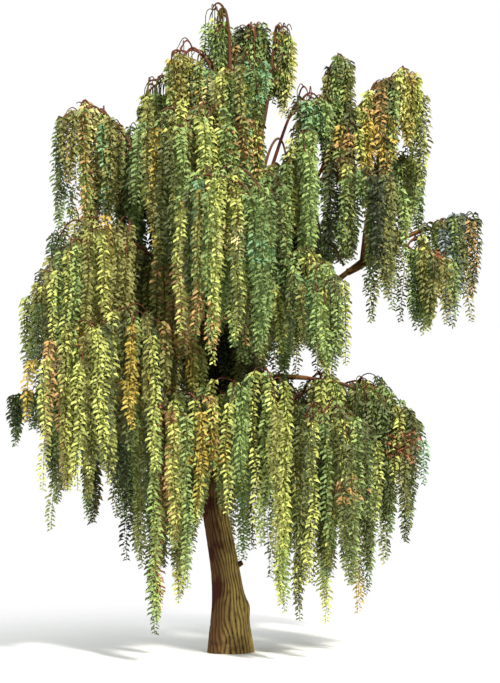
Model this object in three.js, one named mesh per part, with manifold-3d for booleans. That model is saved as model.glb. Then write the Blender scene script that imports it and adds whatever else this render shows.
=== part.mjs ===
// A weeping willow at life size, in millimetres, +Z up, right is +X and the far side is +Y.
// The origin is the centre of the flat cut under the trunk, at ground level.
// One trunk runs up through the crown. Tapering boughs leave it, and each carries one mass of
// weeping foliage: an arching stem, side twigs, hanging whips and leaf sprays fused in one solid.
import * as THREE from "three";
import { mergeVertices } from "three/addons/utils/BufferGeometryUtils.js";
import Module from "manifold-3d";

const wasm = await Module();
wasm.setup();

// Trunk sizes
const TRUNK_HEIGHT = 11600;
const TRUNK_FOOT_RADIUS = 400;
const TRUNK_TIP_RADIUS = 45;
const TRUNK_SIDES = 16;
const TRUNK_RINGS = 17;
const TRUNK_RING_POWER = 2.1; // crowds the rings towards the ground
const TRUNK_FOOT = { share: 0.3, height: 900 }; // part of the foot's radius, nearly all lost at this height
const TRUNK_TAPER = { share: 0.8, power: 1.15 }; // the rest of the radius, which falls to the tip
const TRUNK_SWING = 620; // how far the trunk's axis swings left, then right
const TRUNK_UPRIGHT = 0.3; // share of the height over which the swing sets in
const TRUNK_PIECES = { count: 24, swell: 1.05 }; // straight pieces that stand for it in tests of clearance
const FLARE = { height: 380, swell: 0.12, lobes: 5, lobeDepth: 0.4 };
const BURR = { height: 930, spread: 210, heading: -12, width: 38, bulge: 0.2 };
const STUB = { height: 1600, heading: -8, pitch: 30, length: 190, sides: 7, rootRadius: 110, tipRadius: 50 };

// Sizes shared by every limb and mass
const GAP = 0.35; // clear space between a mass's stem and the tip of its bough
const EASE = 5; // how far a fused mass may move where faces that nearly lie flat are joined
const ROOT_GAP = 1.5; // clear space where a limb is cut to the shape of the one that it leaves
const LIMB = { sides: 5, steps: 4, handle: 0.36 }; // a handle is a share of the span of a limb's curve
const STEM = { sides: 3, steps: 4, rootRadius: 42, tipRadius: 22, handle: 0.5 };
const TWIG = {
  sides: 3,
  rootRadius: 24,
  tipRadius: 15,
  climb: 0.42,
  fall: 0.14,
  reach: [0.8, 1.15], // shares of the mass's spread
  turn: [88, 30], // degrees away from the stem, at its root and at its tip
  turnSpread: 24,
};
const LEAF = {
  width: 430,
  widths: [0.7, 1.2], // shares of that width, from the shortest leaf to one of the full length
  fullLength: 4000,
  keel: 80,
  shoulder: 0.15,
  waist: 0.64,
  waistWidth: 0.72,
  lean: 3,
  sink: 3,
  shortest: 550,
  shortestPart: 0.8, // a leaf cut down below this share of the shortest is skipped
  drops: [0.78, 1], // shares of the way down to the hem
  turn: 90, // degrees between a leaf's facing and the next one's
  turnSpread: 70,
  spineStart: 0.06, // where the line begins that stands for it in tests of clearance
  spineRadius: 0.2,
  spots: [0.15, 0.35, 0.6, 0.8], // places on that line that must lie in the mass's space
};
const ALONG = { trunk: [0.45, 0.92], bough: [0.14, 0.92] }; // part of a stem that carries side twigs

// Where leaves hang, as shares of the length of a stem on the trunk, a stem on a bough and a twig
const HANGERS = {
  trunk: [0.985, 0.88, 0.77, 0.66, 0.55, 0.44],
  bough: [0.985, 0.84, 0.69, 0.54, 0.39, 0.24],
  twig: [0.97, 0.72, 0.45],
};

// The space of a mass: its plumb lines hang at these shares of its stem
const SPACE = {
  heightShare: 1.2,
  margin: 12,
  clearance: 14,
  drops: { trunk: [0.5, 0.85], bough: [0.25, 0.55, 0.85] },
};

// Sizes that are tried in turn: shares of a twig's reach, and of a leaf's length and width
const TWIG_TRIES = [1, 0.8, 0.6, 0.42, 0.3];
const LEAF_TRIES = [
  [1, 1],
  [0.85, 1],
  [0.95, 0.65],
  [0.7, 1],
  [0.75, 0.65],
  [0.55, 0.8],
  [0.42, 0.8],
  [0.3, 0.8],
];

const rad = THREE.MathUtils.degToRad;
const lerp = THREE.MathUtils.lerp;
const UP = new THREE.Vector3(0, 0, 1);

// A table's rows as objects that carry its column names
const rows = (columns, table) =>
  table.map((row) => Object.fromEntries(row.map((value, i) => [columns[i], value])));

// Every bough: what it leaves, where on it (a height on the trunk, a share of a bough's length),
// its tip's heading, reach from the axis and height above ground, the pitch in degrees where it
// leaves and where it arrives, and the radius of its root
const BOUGHS = rows(["name", "from", "at", "heading", "reach", "height", "leave", "arrive", "radius"], [
  ["low_right", "trunk", 4950, 352, 1560, 5480, 54, -6, 100],
  ["right", "trunk", 5800, 359, 2860, 8000, 34, 38, 105],
  ["right_riser", "right", 0.93, 9, 2980, 9600, 84, 66, 48],
  ["far_right", "right", 0.82, 3, 4040, 8480, 20, 10, 50],
  ["arch", "trunk", 7450, 356, 1720, 9440, 50, 61, 78],
  ["right_spire", "trunk", 8250, 7, 1530, 9640, 38, 68, 66],
  ["low_left", "trunk", 4550, 190, 2350, 5480, 24, 16, 96],
  ["left_tuft", "low_left", 0.86, 178, 3560, 5120, 10, 4, 50],
  ["left", "trunk", 5600, 178, 1230, 6970, 48, 48, 100],
  ["left_arch", "trunk", 7050, 187, 1130, 8850, 46, 54, 72],
  ["left_front", "trunk", 6150, 214, 890, 7100, 44, 42, 76],
  ["dome", "trunk", 4200, 262, 1450, 4950, 40, 24, 74],
  ["front_left", "trunk", 3700, 241, 1150, 4450, 45, 24, 84],
  ["front_right", "low_right", 0.5, 312, 1900, 4700, -22, -20, 62],
  ["gold_dome", "trunk", 5000, 222, 1090, 5630, 38, 29, 78],
  ["right_inner", "trunk", 5650, 303, 960, 6600, 36, 37, 74],
  ["middle_front", "trunk", 6700, 273, 800, 7850, 48, 39, 76],
  ["low_back_right", "trunk", 4350, 59, 920, 4700, 34, 5, 88],
  ["low_back", "trunk", 4750, 101, 1050, 5000, 38, -3, 84],
  ["low_back_left", "trunk", 3950, 140, 1210, 4430, 36, 19, 88],
  ["middle_back_right", "trunk", 6050, 52, 1150, 7040, 44, 39, 84],
  ["middle_back", "trunk", 6600, 88, 1070, 7480, 46, 32, 80],
  ["middle_back_left", "trunk", 5850, 140, 1130, 6870, 44, 39, 84],
  ["upper_back", "trunk", 8000, 52, 990, 9060, 52, 54, 62],
]);

// Every mass: the limb that its stem meets and where (a height on the trunk, 1 at a bough's tip),
// its heading, the pitch where it leaves the trunk, how far the stem runs out and up from there,
// how steeply it ends, how far its side twigs reach, how many they are, and the height of its
// hem above ground, nearest the trunk and at its far end
const MASSES = rows(
  ["name", "limb", "at", "heading", "pitch", "out", "lift", "droop", "spread", "twigs", "hem", "tipHem"],
  [
    ["crown_tip", "trunk", 11600, 168, 90, 250, 1150, 68, 300, 5, 10100, 10100],
    ["top_left", "trunk", 11000, 190, 40, 1200, 820, 60, 380, 4, 9700, 9700],
    ["top_right", "trunk", 9950, 14, 66, 560, 2300, 80, 260, 3, 10100, 10100],
    ["top_front", "trunk", 10350, 258, 52, 1000, 900, 62, 620, 5, 8700, 8700],
    ["top_back", "trunk", 9700, 100, 66, 500, 2500, 62, 380, 4, 9500, 9500],
    ["upper_front_left", "trunk", 7900, 226, 56, 2050, 2250, 50, 950, 5, 7500, 7500],
    ["upper_front_right", "trunk", 8550, 306, 46, 1650, 1250, 56, 900, 5, 7500, 7500],
    ["inner_right", "trunk", 6950, 333, 54, 2420, 2150, 50, 1000, 4, 6900, 6900],
    ["left_spire", "trunk", 8100, 170, 48, 2420, 2980, 50, 340, 3, 8400, 8400],
    ["right_fork", "trunk", 9050, 335, 66, 1080, 1700, 76, 480, 3, 9300, 9300],
    ["upper_back_left", "trunk", 7450, 142, 52, 2700, 2350, 56, 950, 3, 7500, 7500],
    ["low_right", "low_right", 1, 348, 0, 1780, -1040, 52, 560, 5, 400, 3300],
    ["right_middle", "right", 1, 326, 0, 1250, -380, 52, 560, 4, 6300, 6400],
    ["right_edge", "right_riser", 1, 8, 0, 550, 60, 70, 400, 4, 7900, 7900],
    ["far_right", "far_right", 1, 358, 0, 600, 90, 66, 420, 4, 6300, 7500],
    ["arch", "arch", 1, 359, 0, 1800, 1600, 74, 500, 5, 8900, 9300],
    ["right_spire", "right_spire", 1, 7, 0, 680, 1920, 78, 300, 3, 9100, 9100],
    ["low_left", "low_left", 1, 192, 0, 740, -380, 60, 950, 4, 2500, 3100],
    ["left_tuft", "left_tuft", 1, 180, 0, 500, -140, 76, 300, 3, 2200, 3900],
    ["left_middle", "left", 1, 180, 0, 2250, 0, 56, 700, 5, 5500, 5200],
    ["left_arch", "left_arch", 1, 184, 0, 1900, 1600, 76, 480, 5, 8250, 8250],
    ["left_front", "left_front", 1, 208, 0, 2310, 650, 60, 1050, 5, 5400, 5400],
    ["dome", "dome", 1, 335, 0, 1200, 40, 62, 850, 5, 3000, 900],
    ["front_left", "front_left", 1, 244, 0, 1350, 300, 62, 700, 5, 1300, 400],
    ["front_right", "front_right", 1, 322, 0, 950, -300, 62, 800, 5, 1450, 1450],
    ["gold_dome", "gold_dome", 1, 220, 0, 2360, 270, 60, 1050, 4, 3500, 3300],
    ["right_inner", "right_inner", 1, 308, 0, 2200, 420, 60, 1050, 5, 5300, 5600],
    ["middle_front", "middle_front", 1, 266, 0, 2000, 800, 60, 1050, 5, 5850, 6000],
    ["low_back_right", "low_back_right", 1, 46, 0, 2900, 50, 58, 1050, 3, 1500, 2700],
    ["low_back", "low_back", 1, 89, 0, 2770, -150, 58, 1050, 3, 2100, 1700],
    ["low_back_left", "low_back_left", 1, 127, 0, 2610, 120, 58, 1050, 4, 1300, 2900],
    ["middle_back_right", "middle_back_right", 1, 53, 0, 2750, 760, 60, 1150, 3, 5200, 6400],
    ["middle_back", "middle_back", 1, 100, 0, 2750, 570, 60, 1150, 3, 5300, 5100],
    ["middle_back_left", "middle_back_left", 1, 143, 0, 2820, 780, 60, 1150, 3, 5200, 5400],
    ["upper_back", "upper_back", 1, 73, 0, 1850, 990, 64, 950, 4, 7500, 7500],
  ],
);

const BARK = { color: 0x5a4126, roughness: 0.95, metalness: 0 };
const FOLIAGE = { color: 0x7c8f35, roughness: 0.7, metalness: 0 };
const barkMaterial = () => new THREE.MeshStandardMaterial(BARK);
const foliageMaterial = () => new THREE.MeshStandardMaterial(FOLIAGE);

// A repeatable number from 0 to 1 for the k-th choice of a mass
function chance(seed, k) {
  const wave = Math.sin(seed * 127.1 + k * 311.7) * 43758.5453;
  return wave - Math.floor(wave);
}

function direction(heading, pitch) {
  const turn = rad(heading);
  const level = Math.cos(rad(pitch));
  return new THREE.Vector3(level * Math.cos(turn), level * Math.sin(turn), Math.sin(rad(pitch)));
}

// Solids

function solidFrom(geometry) {
  geometry.deleteAttribute("normal");
  geometry.deleteAttribute("uv");
  const merged = mergeVertices(geometry, 1e-3);
  const triVerts = new Uint32Array(merged.index.array);
  const vertProperties = merged.attributes.position.array;
  return new wasm.Manifold(new wasm.Mesh({ numProp: 3, vertProperties, triVerts }));
}

function meshFrom(solid, name, material) {
  const whole = solid.decompose().reduce((a, b) => (a.volume() > b.volume() ? a : b));
  const { numProp, numVert, vertProperties, triVerts } = whole.getMesh();
  const points = new Float32Array(numVert * 3);
  for (let i = 0; i < numVert; i++) points.set(vertProperties.subarray(i * numProp, i * numProp + 3), i * 3);
  const geometry = new THREE.BufferGeometry()
    .setAttribute("position", new THREE.BufferAttribute(points, 3))
    .setIndex(new THREE.BufferAttribute(triVerts, 1));
  geometry.computeVertexNormals();
  const mesh = new THREE.Mesh(geometry, material);
  mesh.name = name;
  return mesh;
}

// A curve as a chain of straight pieces, which are the axes of a bent tube's pieces
function inStraightPieces(points) {
  const path = new THREE.CurvePath();
  for (let i = 1; i < points.length; i++) path.add(new THREE.LineCurve3(points[i - 1], points[i]));
  return path;
}

const radiusAlong = (tube, share) => lerp(tube.rootRadius, tube.tipRadius, share);
const jointShares = (path) => [0, ...path.getCurveLengths().map((length) => length / path.getLength())];

// A closed, tapering cylinder bent along a chain. Its rings turn about the normal of the plane
// that the chain lies in, and its first ring faces along the lead, if one is given.
function bentTube(path, tube, extra = 0, lead = null) {
  const runs = path.curves.map((piece) => piece.v2.clone().sub(piece.v1));
  const joints = [path.curves[0].v1, ...path.curves.map((piece) => piece.v2)];
  const normal = new THREE.Vector3().crossVectors(runs[0], runs.at(-1));
  if (normal.lengthSq() < 1) normal.set(0, 1, 0);
  const shares = jointShares(path);
  const rings = joints.map((centre, i) => {
    const before = (runs[i - 1] ?? runs[0]).clone().normalize();
    const after = (runs[i] ?? runs[i - 1]).clone().normalize();
    const along = i === 0 && lead ? lead : before.add(after).normalize();
    const across = normal.clone().addScaledVector(along, -normal.dot(along)).normalize();
    const over = new THREE.Vector3().crossVectors(across, along);
    return { centre, across, over, radius: radiusAlong(tube, shares[i]) + extra };
  });
  const geometry = new THREE.CylinderGeometry(1, 1, 1, tube.sides, runs.length);
  const place = geometry.attributes.position;
  for (let i = 0; i < place.count; i++) {
    const ring = rings[Math.round((place.getY(i) + 0.5) * runs.length)];
    const point = ring.centre.clone().addScaledVector(ring.across, place.getX(i) * ring.radius);
    point.addScaledVector(ring.over, place.getZ(i) * ring.radius);
    place.setXYZ(i, point.x, point.y, point.z);
  }
  return solidFrom(geometry);
}

// The straight pieces of a tube, each with its larger radius, for tests of clearance
function piecesOf(path, tube) {
  const shares = jointShares(path);
  return path.curves.map((piece, i) => ({
    line: new THREE.Line3(piece.v1, piece.v2),
    radius: radiusAlong(tube, shares[i]),
  }));
}

// The trunk

// The axis is upright at the foot, then swings left and right in one long S
function trunkCentre(height) {
  const share = height / TRUNK_HEIGHT;
  const swing = TRUNK_SWING * (1 - Math.exp(-((share / TRUNK_UPRIGHT) ** 2)));
  return new THREE.Vector3(-swing * Math.sin(2 * Math.PI * share), 0, height);
}

// The radius falls fast above the foot, then steadily to the tip
function trunkRadius(height) {
  const foot = TRUNK_FOOT.share * Math.exp(-((height / TRUNK_FOOT.height) ** 2));
  const rest = TRUNK_TAPER.share * (1 - height / TRUNK_HEIGHT) ** TRUNK_TAPER.power;
  return lerp(TRUNK_TIP_RADIUS, TRUNK_FOOT_RADIUS, foot + rest);
}

// Root flare with lobes at the ground and a burr on the right
function trunkSwell(angle, height) {
  const lobes = 1 - FLARE.lobeDepth + FLARE.lobeDepth * Math.cos(FLARE.lobes * angle);
  const flare = FLARE.swell * Math.exp(-height / FLARE.height) * lobes;
  const turn = angle - rad(BURR.heading);
  const away = Math.atan2(Math.sin(turn), Math.cos(turn)) / rad(BURR.width);
  const burr = BURR.bulge * Math.exp(-(away ** 2) - ((height - BURR.height) / BURR.spread) ** 2);
  return 1 + flare + burr;
}

// Rings are closer together near the ground, where the shape changes fastest
const ringHeight = (share) => TRUNK_HEIGHT * share ** TRUNK_RING_POWER;

function trunkTube(extra) {
  const geometry = new THREE.CylinderGeometry(1, 1, 1, TRUNK_SIDES, TRUNK_RINGS);
  const place = geometry.attributes.position;
  for (let i = 0; i < place.count; i++) {
    const height = ringHeight(place.getY(i) + 0.5);
    const across = Math.hypot(place.getX(i), place.getZ(i));
    const angle = Math.atan2(-place.getZ(i), place.getX(i));
    const radius = across * (trunkRadius(height) * trunkSwell(angle, height) + extra);
    const centre = trunkCentre(height);
    place.setXYZ(i, centre.x + radius * Math.cos(angle), centre.y + radius * Math.sin(angle), height);
  }
  return solidFrom(geometry);
}

function stubTube() {
  const root = trunkCentre(STUB.height);
  const out = direction(STUB.heading, STUB.pitch).multiplyScalar(trunkRadius(STUB.height) + STUB.length);
  return bentTube(inStraightPieces([root, root.clone().add(out)]), STUB);
}

// Boughs

const limbs = new Map([["trunk", { pointAt: trunkCentre, pieces: [] }]]);
for (let i = 0; i < TRUNK_PIECES.count; i++) {
  const low = (TRUNK_HEIGHT * i) / TRUNK_PIECES.count;
  const line = new THREE.Line3(trunkCentre(low), trunkCentre(low + TRUNK_HEIGHT / TRUNK_PIECES.count));
  limbs.get("trunk").pieces.push({ line, radius: trunkRadius(low) * TRUNK_PIECES.swell });
}

function boughCurve(bough, root) {
  const tip = direction(bough.heading, 0).multiplyScalar(bough.reach).setZ(bough.height);
  const heading = THREE.MathUtils.radToDeg(Math.atan2(tip.y - root.y, tip.x - root.x));
  const handle = root.distanceTo(tip) * LIMB.handle;
  return new THREE.CubicBezierCurve3(
    root,
    root.clone().addScaledVector(direction(heading, bough.leave), handle),
    tip.clone().addScaledVector(direction(heading, bough.arrive), -handle),
    tip,
  );
}

const solids = [];

for (const bough of BOUGHS) {
  const parent = limbs.get(bough.from);
  const curve = boughCurve(bough, parent.pointAt(bough.at));
  const path = inStraightPieces(curve.getSpacedPoints(LIMB.steps));
  const tube = { sides: LIMB.sides, rootRadius: bough.radius, tipRadius: STEM.rootRadius };
  const pointAt = (share) => path.getPoint(share);
  limbs.set(bough.name, { path, tube, pointAt, pieces: piecesOf(path, tube) });
  const parentTube = parent.path ? bentTube(parent.path, parent.tube, ROOT_GAP) : trunkTube(ROOT_GAP);
  const solid = bentTube(path, tube).subtract(parentTube);
  solids.push({ name: `bough_${bough.name}`, solid, material: barkMaterial() });
}

// Foliage

const hemAt = (mass, share) => lerp(mass.hem, mass.tipHem, share ** 2);

// The stem goes on from the tip of its bough, or leaves the trunk, and arches over
function stemCurve(mass) {
  const onTip = mass.kind === "bough" || mass.at === TRUNK_HEIGHT;
  const limb = limbs.get(mass.limb);
  const fromTrunk = mass.kind === "trunk";
  mass.lead = fromTrunk ? direction(mass.heading, mass.pitch) : limb.path.curves.at(-1).getTangent(1);
  const root = limb.pointAt(mass.at).clone().addScaledVector(mass.lead, onTip ? GAP : 0);
  const out = direction(mass.heading, 0);
  const tip = root.clone().addScaledVector(out, mass.out).addScaledVector(UP, mass.lift);
  const handle = root.distanceTo(tip) * STEM.handle;
  return new THREE.CubicBezierCurve3(
    root,
    root.clone().addScaledVector(mass.lead, handle),
    tip.clone().addScaledVector(direction(mass.heading, -mass.droop), -handle),
    tip,
  );
}

MASSES.forEach((mass, i) => {
  mass.seed = i + 1;
  mass.kind = mass.limb === "trunk" ? "trunk" : "bough";
  mass.stem = inStraightPieces(stemCurve(mass).getSpacedPoints(STEM.steps));
  mass.stemPieces = piecesOf(mass.stem, STEM);
  mass.drops = SPACE.drops[mass.kind].map((share) => ({
    top: mass.stem.getPoint(share),
    hem: hemAt(mass, share),
  }));
});

// How far a point is from the nearest of the plumb lines that hang from a mass's stem to its hem,
// with the height beyond their ends weighed a little more
function distanceToMass(mass, point) {
  const distances = mass.drops.map(({ top, hem }) => {
    const beyond = Math.max(point.z - top.z, hem - point.z, 0) * SPACE.heightShare;
    return Math.hypot(point.x - top.x, point.y - top.y, beyond);
  });
  return Math.min(...distances);
}

// A mass's space is nearer to its own plumb lines than to any other's
function inSpace(mass, point, radius) {
  const bound = distanceToMass(mass, point) + 2 * (radius + SPACE.margin);
  return MASSES.every((other) => other === mass || distanceToMass(other, point) > bound);
}

// Clear of every limb, of the stems of other masses and of what this mass has grown so far
function isClear(mass, piece, grown) {
  const nearest = new THREE.Vector3();
  const misses = (other) => {
    const room = other.radius + piece.radius + SPACE.clearance;
    return piece.line.distanceSqToLine3(other.line, nearest, new THREE.Vector3()) > room ** 2;
  };
  for (const limb of limbs.values()) if (!limb.pieces.every(misses)) return false;
  return MASSES.every((other) => other === mass || other.stemPieces.every(misses)) && grown.every(misses);
}

const fits = (mass, piece, grown) =>
  [piece.line.start, piece.line.end, piece.line.getCenter(new THREE.Vector3())].every((point) =>
    inSpace(mass, point, piece.radius),
  ) && isClear(mass, piece, grown);

// A side twig leaves the stem, arches out over its reach and begins to fall
function twigPath(root, heading, reach) {
  const out = direction(heading, 0);
  const at = (across, up) =>
    root
      .clone()
      .addScaledVector(out, across * reach)
      .addScaledVector(UP, up * reach);
  return inStraightPieces([root, at(0.5, TWIG.climb * 0.5), at(1, -TWIG.fall)]);
}

// A leaf stands for one hanging whip: a keeled blade of twelve faces, from its sunk root down
// to a point
function hangingLeaf(root, length, widthPart, lean, facing) {
  const along = direction(lean, LEAF.lean - 90);
  const across = direction(facing, 0);
  across.addScaledVector(along, -across.dot(along)).normalize();
  const back = new THREE.Vector3().crossVectors(along, across);
  const width = LEAF.width * widthPart * lerp(...LEAF.widths, length / LEAF.fullLength);
  const at = (share, side, depth) =>
    root
      .clone()
      .addScaledVector(along, share * length)
      .addScaledVector(across, side * width)
      .addScaledVector(back, depth * LEAF.keel);
  const corners = [at(-LEAF.sink / length, 0, 0)];
  for (const [share, size] of [[LEAF.shoulder, 1], [LEAF.waist, LEAF.waistWidth]]) {
    corners.push(at(share, size / 2, 0), at(share, 0, size), at(share, -size / 2, 0));
  }
  corners.push(at(1, 0, 0));
  const geometry = new THREE.BufferGeometry().setFromPoints(corners);
  const faces = [];
  for (let i = 0; i < 3; i++) {
    const j = (i + 1) % 3;
    faces.push(0, 1 + j, 1 + i, 1 + i, 1 + j, 4 + j, 1 + i, 4 + j, 4 + i, 7, 4 + i, 4 + j);
  }
  geometry.setIndex(faces);
  const line = new THREE.Line3(at(LEAF.spineStart, 0, 0), corners[7]);
  return { corners, geometry, line, radius: width * LEAF.spineRadius };
}

// The first try that fits, from the largest to the smallest
function largestThatFits(tries, make) {
  for (const part of tries) {
    const grown = make(part);
    if (grown) return grown;
  }
  return null;
}

function growTwigs(mass, grown) {
  const twigs = [];
  for (let k = 0; k < mass.twigs; k++) {
    const share = lerp(...ALONG[mass.kind], k / (mass.twigs - 1));
    const turn = lerp(...TWIG.turn, share) + (chance(mass.seed, k) - 0.5) * TWIG.turnSpread;
    const heading = mass.heading + (k % 2 ? turn : -turn);
    const reach = mass.spread * lerp(...TWIG.reach, chance(mass.seed, k + 20));
    const twig = largestThatFits(TWIG_TRIES, (part) => {
      const path = twigPath(mass.stem.getPoint(share), heading, reach * part);
      const pieces = piecesOf(path, TWIG);
      if (!pieces.every((piece) => fits(mass, piece, grown))) return null;
      return { path, pieces, heading, share };
    });
    if (!twig) continue;
    twigs.push(twig);
    grown.push(...twig.pieces);
  }
  return twigs;
}

function growLeaf(mass, k, root, share, heading, grown) {
  const drop = (root.z - hemAt(mass, share)) * lerp(...LEAF.drops, chance(mass.seed, k + 40));
  const length = Math.max(drop, LEAF.shortest);
  const turn = (k % 2) * LEAF.turn + (chance(mass.seed, k + 80) - 0.5) * LEAF.turnSpread;
  const facing = mass.heading + turn;
  return largestThatFits(LEAF_TRIES, ([part, widthPart]) => {
    if (length * part < LEAF.shortest * LEAF.shortestPart) return null;
    const leaf = hangingLeaf(root, length * part, widthPart, heading, facing);
    const spine = LEAF.spots.map((spot) => leaf.line.at(spot, new THREE.Vector3()));
    const inside = [...leaf.corners, ...spine].every((spot) => inSpace(mass, spot, 0));
    return inside && isClear(mass, leaf, grown) ? leaf : null;
  });
}

function foliageSolid(mass) {
  const twigs = growTwigs(mass, []);
  const parts = [bentTube(mass.stem, STEM, 0, mass.lead), ...twigs.map((twig) => bentTube(twig.path, TWIG))];
  const hangers = [{ path: mass.stem, pieces: [], heading: mass.heading, shares: HANGERS[mass.kind] }];
  for (const twig of twigs) hangers.push({ ...twig, onStem: twig.share, shares: HANGERS.twig });
  const leaves = [];
  for (const hanger of hangers) {
    const others = twigs.flatMap((twig) => (twig.path === hanger.path ? [] : twig.pieces));
    for (const share of hanger.shares) {
      const root = hanger.path.getPoint(share);
      const onStem = hanger.onStem ?? share;
      const leaf = growLeaf(mass, leaves.length, root, onStem, hanger.heading, [...others, ...leaves]);
      if (leaf) leaves.push(leaf);
    }
  }
  parts.push(...leaves.map((leaf) => solidFrom(leaf.geometry)));
  return wasm.Manifold.union(parts).asOriginal().simplify(EASE);
}

for (const mass of MASSES) {
  const solid = foliageSolid(mass);
  const onSide = mass.kind === "trunk" && mass.at < TRUNK_HEIGHT;
  solids.push({
    name: `foliage_${mass.name}`,
    solid: onSide ? solid.subtract(trunkTube(ROOT_GAP)) : solid,
    material: foliageMaterial(),
  });
}

const tree = new THREE.Group();
tree.add(meshFrom(trunkTube(0).add(stubTube()), "trunk", barkMaterial()));
for (const { name, solid, material } of solids) tree.add(meshFrom(solid, name, material));

export default tree;
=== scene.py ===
import bpy
import numpy as np
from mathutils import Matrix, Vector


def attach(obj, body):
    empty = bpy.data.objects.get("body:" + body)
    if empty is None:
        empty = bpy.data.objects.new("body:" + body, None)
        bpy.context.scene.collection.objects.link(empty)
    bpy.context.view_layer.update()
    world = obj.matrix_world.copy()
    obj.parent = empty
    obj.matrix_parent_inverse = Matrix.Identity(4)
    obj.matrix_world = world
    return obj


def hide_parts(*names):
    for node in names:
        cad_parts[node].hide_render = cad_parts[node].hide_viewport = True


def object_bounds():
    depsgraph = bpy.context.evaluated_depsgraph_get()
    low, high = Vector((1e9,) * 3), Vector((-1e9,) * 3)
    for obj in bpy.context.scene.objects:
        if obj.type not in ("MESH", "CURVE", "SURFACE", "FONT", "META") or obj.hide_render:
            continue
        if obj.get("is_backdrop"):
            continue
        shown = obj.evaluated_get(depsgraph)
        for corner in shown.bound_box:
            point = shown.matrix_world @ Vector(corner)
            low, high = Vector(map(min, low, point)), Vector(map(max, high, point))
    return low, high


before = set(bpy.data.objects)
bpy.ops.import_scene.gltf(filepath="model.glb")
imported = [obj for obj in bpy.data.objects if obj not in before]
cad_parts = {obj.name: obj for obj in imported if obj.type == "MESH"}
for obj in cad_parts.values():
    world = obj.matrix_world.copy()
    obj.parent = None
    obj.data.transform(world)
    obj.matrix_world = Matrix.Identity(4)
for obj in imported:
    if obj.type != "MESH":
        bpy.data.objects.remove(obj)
cadBox = [list(corner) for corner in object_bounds()]
barkNodes = sorted(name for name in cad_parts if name.startswith("bough_"))
foliageNodes = sorted(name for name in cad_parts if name.startswith("foliage_"))
print("frame loaded:", len(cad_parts), "nodes")


# Camera, light and floor

studio = {
    "distance": 60.0,
    "eyeHeight": 6.21,
    "eyeSide": 0.4,
    "frameHeight": 13.66,  # what the camera takes in at the trunk, bottom to top
    "ambient": 0.5,
    "ambientColour": (0.93, 0.97, 1.0),
    # each lamp: strength, softness in degrees, pitch and turn of its beam, colour
    "lamps": {
        "key": (5.0, 6, 48, 28, (1.0, 0.96, 0.88)),
        "fill": (1.0, 40, 60, -55, (0.92, 0.96, 1.0)),
        "back": (1.1, 40, 55, 190, (1.0, 0.98, 0.95)),
    },
    "floorRadius": 45.0,
    "floorFade": (2.0, 12.0),
    "floorColour": (0.86, 0.86, 0.84, 1),
}


def addObject(name, data):
    added = bpy.data.objects.new(name, data)
    bpy.context.scene.collection.objects.link(added)
    return added


def makeCamera():
    data = bpy.data.cameras.new("camera")
    data.lens = data.sensor_width * studio["distance"] / studio["frameHeight"]
    data.clip_end = 400
    camera = addObject("camera", data)
    camera.location = (studio["eyeSide"], -studio["distance"], studio["eyeHeight"])
    camera.rotation_euler = (np.pi / 2, 0, 0)
    bpy.context.scene.camera = camera


def makeLights():
    for name, (strength, softness, pitch, turn, colour) in studio["lamps"].items():
        data = bpy.data.lights.new(name, "SUN")
        data.energy = strength
        data.angle = np.radians(softness)
        data.color = colour
        addObject(name, data).rotation_euler = (np.radians(pitch), 0, np.radians(turn))
    world = bpy.data.worlds.new("world")
    world.use_nodes = True
    nodes, links = world.node_tree.nodes, world.node_tree.links
    nodes.clear()
    output = nodes.new("ShaderNodeOutputWorld")
    mix = nodes.new("ShaderNodeMixShader")
    seen = nodes.new("ShaderNodeLightPath")
    sky = nodes.new("ShaderNodeBackground")
    sky.inputs["Color"].default_value = (*studio["ambientColour"], 1)
    sky.inputs["Strength"].default_value = studio["ambient"]
    white = nodes.new("ShaderNodeBackground")
    white.inputs["Color"].default_value = (1, 1, 1, 1)
    links.new(seen.outputs["Is Camera Ray"], mix.inputs["Fac"])
    links.new(sky.outputs[0], mix.inputs[1])
    links.new(white.outputs[0], mix.inputs[2])
    links.new(mix.outputs[0], output.inputs["Surface"])
    bpy.context.scene.world = world
    bpy.context.scene.view_settings.view_transform = "Standard"


# Shared sums

def chance(seed, k):
    # repeatable number from 0 to 1: the fraction of a large multiple of a sine
    wave = np.sin(np.asarray(seed) * 127.1 + np.asarray(k) * 311.7) * 43758.5453
    return wave - np.floor(wave)


def lerp(low, high, share):
    return low + (high - low) * share


upward = np.array([0, 0, 1.0])


def direction(heading, pitch=0.0):
    # unit vector from a heading round +Z and a pitch above level, both in degrees
    heading, pitch = np.radians(heading), np.radians(pitch)
    level = np.cos(pitch)
    parts = level * np.cos(heading), level * np.sin(heading), np.sin(pitch)
    return np.stack(np.broadcast_arrays(*parts), -1)


def unit(vectors):
    return vectors / np.maximum(np.linalg.norm(vectors, axis=-1, keepdims=True), 1e-9)


def bezier(a, b, c, d, share):
    # cubic Bezier curve: each point weighs in by its Bernstein polynomial
    t = np.asarray(share)[..., None]
    return a * (1 - t) ** 3 + 3 * b * t * (1 - t) ** 2 + 3 * c * t ** 2 * (1 - t) + d * t ** 3


def lengthOf(paths):
    return np.linalg.norm(np.diff(paths, axis=-2), axis=-1).sum(-1)


def evenly(path, count):
    # the same path with its points moved to equal steps of its length
    steps = np.linalg.norm(np.diff(path, axis=0), axis=1)
    length = np.concatenate([[0], np.cumsum(steps)])
    wanted = np.linspace(0, length[-1], count)
    return np.stack([np.interp(wanted, length, path[:, i]) for i in range(3)], -1)


def limbCurve(root, lead, tip, arrive, handle, samples, count):
    # evenly spaced points of a curve that keeps both its end directions for a share of its span
    hold = np.linalg.norm(tip - root) * handle
    curve = bezier(root, root + lead * hold, tip - arrive * hold, tip, np.linspace(0, 1, samples))
    return evenly(curve, count)


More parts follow.
